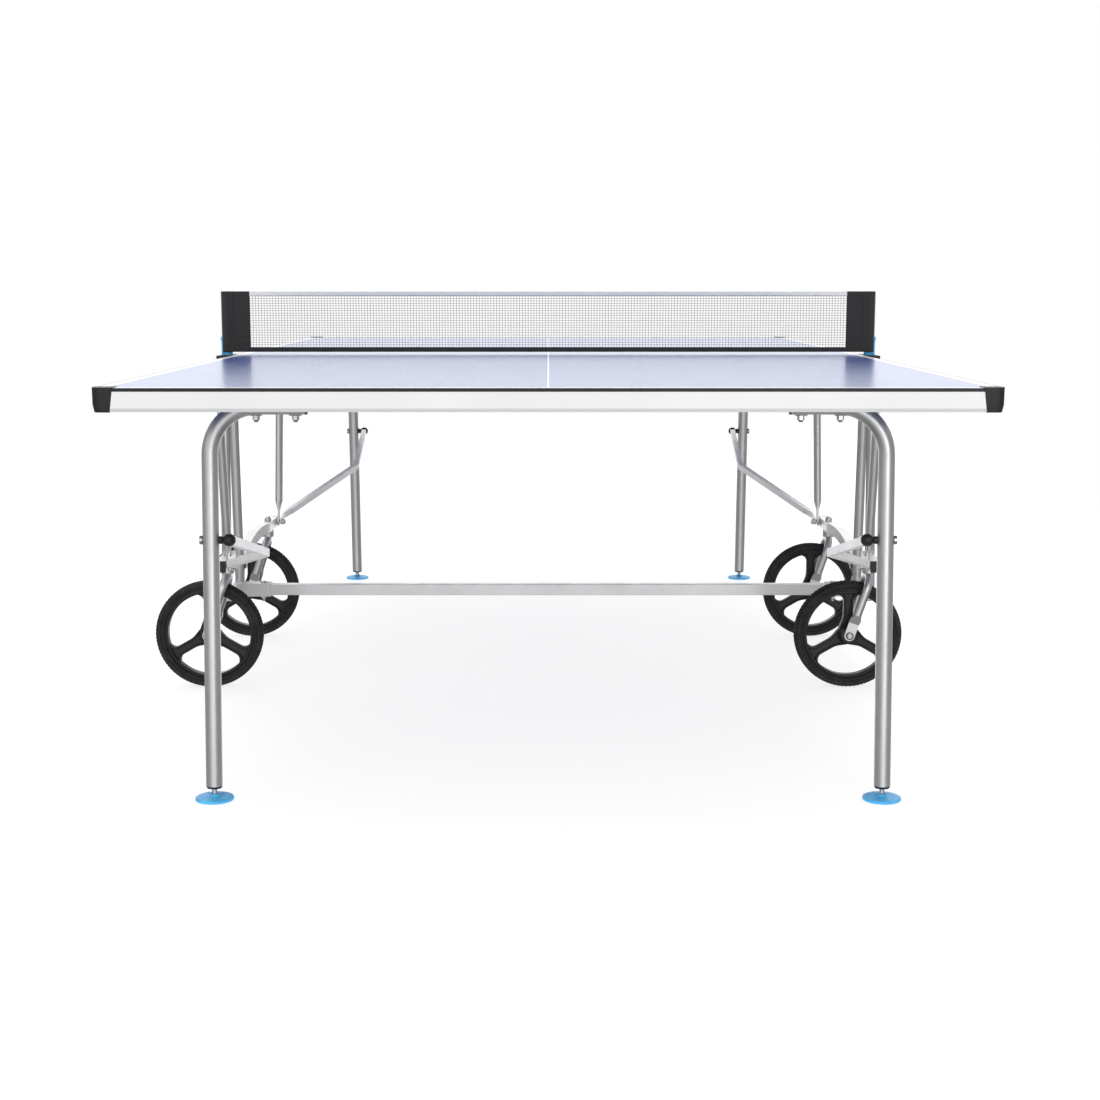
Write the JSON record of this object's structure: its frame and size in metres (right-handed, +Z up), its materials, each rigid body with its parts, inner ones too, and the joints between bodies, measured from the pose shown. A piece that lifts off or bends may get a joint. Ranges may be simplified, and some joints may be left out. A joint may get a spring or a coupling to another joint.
{
  "type": "table tennis table",
  "caption": "Folding table tennis table on swivel casters, with blue halves, white aprons, tube legs on levelling feet and a net.",
  "frame": {"origin": "on the floor under the middle of the net, at the centre of the rectangle of the four feet", "axes": "X across the table, Y along it with the near half at negative Y, Z up"},
  "size_m": [1.736, 2.741, 0.9125],
  "materials": {
    "silver_steel": "silver-grey metallic paint",
    "light_silver": "light silver paint",
    "zinc_steel": "bright zinc plate",
    "white_paint": "satin white",
    "blue_panel": "matt blue laminate with white lines",
    "dark_edging": "satin",
    "black_plastic": "moulded, fine grain",
    "blue_plastic": "satin",
    "net_cord": "knotless net cord",
    "white_tape": "woven tape",
    "black_fabric": "woven",
    "black_wheel": "moulded",
    "tyre_rubber": "ribbed"
  },
  "bodies": {
    "carriage": {"crossbar": "silver_steel", "side_bases": "silver_steel", "posts": "silver_steel", "caster_arms": "silver_steel", "arm_caps": "black_plastic", "frame_fasteners": "zinc_steel", "net_brackets": "black_plastic", "net_posts": "silver_steel", "net_collars": "blue_plastic", "net_mesh": "net_cord", "net_tape": "white_tape", "net_band": "black_fabric", "net_sleeves": "black_fabric"},
    "slider_near": {"sliders_near": "black_plastic"},
    "half_near": {"panel_near": "blue_panel", "edging_near": "dark_edging", "apron_near": "white_paint", "corner_caps_near": "black_plastic", "rails_near": "white_paint", "half_brackets_near": "silver_steel", "leg_saddles_near": "silver_steel", "half_fasteners_near": "zinc_steel"},
    "legs_near": {"leg_tubes_near": "silver_steel", "leg_plugs_near": "black_plastic", "strut_bolts_near": "zinc_steel"},
    "struts_near": {"strut_tubes_near": "light_silver", "strut_knobs_near": "black_plastic"},
    "links_near": {"links_near": "silver_steel"},
    "foot_near_left": {"foot_near_left": "blue_plastic"},
    "caster_near_left": {"fork_near_left": "silver_steel"},
    "wheel_near_left": {"rim_near_left": "black_wheel", "tyre_near_left": "tyre_rubber"},
    "foot_near_right": {"foot_near_right": "blue_plastic"},
    "caster_near_right": {"fork_near_right": "silver_steel"},
    "wheel_near_right": {"rim_near_right": "black_wheel", "tyre_near_right": "tyre_rubber"},
    "slider_far": {"sliders_far": "black_plastic"},
    "half_far": {"panel_far": "blue_panel", "edging_far": "dark_edging", "apron_far": "white_paint", "corner_caps_far": "black_plastic", "rails_far": "white_paint", "half_brackets_far": "silver_steel", "leg_saddles_far": "silver_steel", "half_fasteners_far": "zinc_steel"},
    "legs_far": {"leg_tubes_far": "silver_steel", "leg_plugs_far": "black_plastic", "strut_bolts_far": "zinc_steel"},
    "struts_far": {"strut_tubes_far": "light_silver", "strut_knobs_far": "black_plastic"},
    "links_far": {"links_far": "silver_steel"},
    "foot_far_left": {"foot_far_left": "blue_plastic"},
    "caster_far_left": {"fork_far_left": "silver_steel"},
    "wheel_far_left": {"rim_far_left": "black_wheel", "tyre_far_left": "tyre_rubber"},
    "foot_far_right": {"foot_far_right": "blue_plastic"},
    "caster_far_right": {"fork_far_right": "silver_steel"},
    "wheel_far_right": {"rim_far_right": "black_wheel", "tyre_far_right": "tyre_rubber"}
  },
  "joints": [
    {"name": "slide_near", "type": "slide", "parent": "carriage", "child": "slider_near", "axis": [0, -0.0741, -0.9973], "range_m": [0, 0.5108]},
    {"name": "fold_near", "type": "hinge", "parent": "slider_near", "child": "half_near", "pos_m": [0, -0.049, 0.719], "axis": [-1, 0, 0], "range_deg": [0, 90]},
    {"name": "legs_near", "type": "hinge", "parent": "half_near", "child": "legs_near", "pos_m": [0, -1.146, 0.714], "axis": [-1, 0, 0], "range_deg": [-67.3, 0]},
    {"name": "struts_near", "type": "hinge", "parent": "carriage", "child": "struts_near", "pos_m": [0, -0.371, 0.297], "axis": [-1, 0, 0], "range_deg": [0, 89.5]},
    {"name": "links_near", "type": "hinge", "parent": "carriage", "child": "links_near", "pos_m": [0, -0.371, 0.297], "axis": [-1, 0, 0], "range_deg": [0, 50.2]},
    {"name": "level_near_left", "type": "slide", "parent": "legs_near", "child": "foot_near_left", "axis": [0, 0, -1], "range_m": [0, 0.012]},
    {"name": "swivel_near_left", "type": "hinge", "parent": "carriage", "child": "caster_near_left", "pos_m": [-0.743, -0.294, 0.297], "axis": [0, 0, 1], "continuous": true},
    {"name": "wheel_near_left", "type": "hinge", "parent": "caster_near_left", "child": "wheel_near_left", "pos_m": [-0.7885, -0.294, 0.125], "axis": [0, 1, 0], "continuous": true},
    {"name": "level_near_right", "type": "slide", "parent": "legs_near", "child": "foot_near_right", "axis": [0, 0, -1], "range_m": [0, 0.012]},
    {"name": "swivel_near_right", "type": "hinge", "parent": "carriage", "child": "caster_near_right", "pos_m": [0.743, -0.294, 0.297], "axis": [0, 0, 1], "continuous": true},
    {"name": "wheel_near_right", "type": "hinge", "parent": "caster_near_right", "child": "wheel_near_right", "pos_m": [0.6975, -0.294, 0.125], "axis": [0, 1, 0], "continuous": true},
    {"name": "slide_far", "type": "slide", "parent": "carriage", "child": "slider_far", "axis": [0, 0.0741, -0.9973], "range_m": [0, 0.5108]},
    {"name": "fold_far", "type": "hinge", "parent": "slider_far", "child": "half_far", "pos_m": [0, 0.049, 0.719], "axis": [1, 0, 0], "range_deg": [0, 90]},
    {"name": "legs_far", "type": "hinge", "parent": "half_far", "child": "legs_far", "pos_m": [0, 1.146, 0.714], "axis": [1, 0, 0], "range_deg": [-67.3, 0]},
    {"name": "struts_far", "type": "hinge", "parent": "carriage", "child": "struts_far", "pos_m": [0, 0.371, 0.297], "axis": [1, 0, 0], "range_deg": [0, 89.5]},
    {"name": "links_far", "type": "hinge", "parent": "carriage", "child": "links_far", "pos_m": [0, 0.371, 0.297], "axis": [1, 0, 0], "range_deg": [0, 50.2]},
    {"name": "level_far_left", "type": "slide", "parent": "legs_far", "child": "foot_far_left", "axis": [0, 0, -1], "range_m": [0, 0.012]},
    {"name": "swivel_far_left", "type": "hinge", "parent": "carriage", "child": "caster_far_left", "pos_m": [-0.743, 0.294, 0.297], "axis": [0, 0, 1], "continuous": true},
    {"name": "wheel_far_left", "type": "hinge", "parent": "caster_far_left", "child": "wheel_far_left", "pos_m": [-0.7885, 0.294, 0.125], "axis": [0, 1, 0], "continuous": true},
    {"name": "level_far_right", "type": "slide", "parent": "legs_far", "child": "foot_far_right", "axis": [0, 0, -1], "range_m": [0, 0.012]},
    {"name": "swivel_far_right", "type": "hinge", "parent": "carriage", "child": "caster_far_right", "pos_m": [0.743, 0.294, 0.297], "axis": [0, 0, 1], "continuous": true},
    {"name": "wheel_far_right", "type": "hinge", "parent": "caster_far_right", "child": "wheel_far_right", "pos_m": [0.6975, 0.294, 0.125], "axis": [0, 1, 0], "continuous": true}
  ],
  "couplings": [
    {"joint": "slide_near", "follows": "fold_near", "m_per_rad": 0.32513},
    {"joint": "legs_near", "follows": "fold_near", "ratio": -0.74746},
    {"joint": "struts_near", "follows": "fold_near", "ratio": 0.99359},
    {"joint": "links_near", "follows": "fold_near", "ratio": 0.55766},
    {"joint": "slide_far", "follows": "fold_far", "m_per_rad": 0.32513},
    {"joint": "legs_far", "follows": "fold_far", "ratio": -0.74746},
    {"joint": "struts_far", "follows": "fold_far", "ratio": 0.99359},
    {"joint": "links_far", "follows": "fold_far", "ratio": 0.55766}
  ]
}
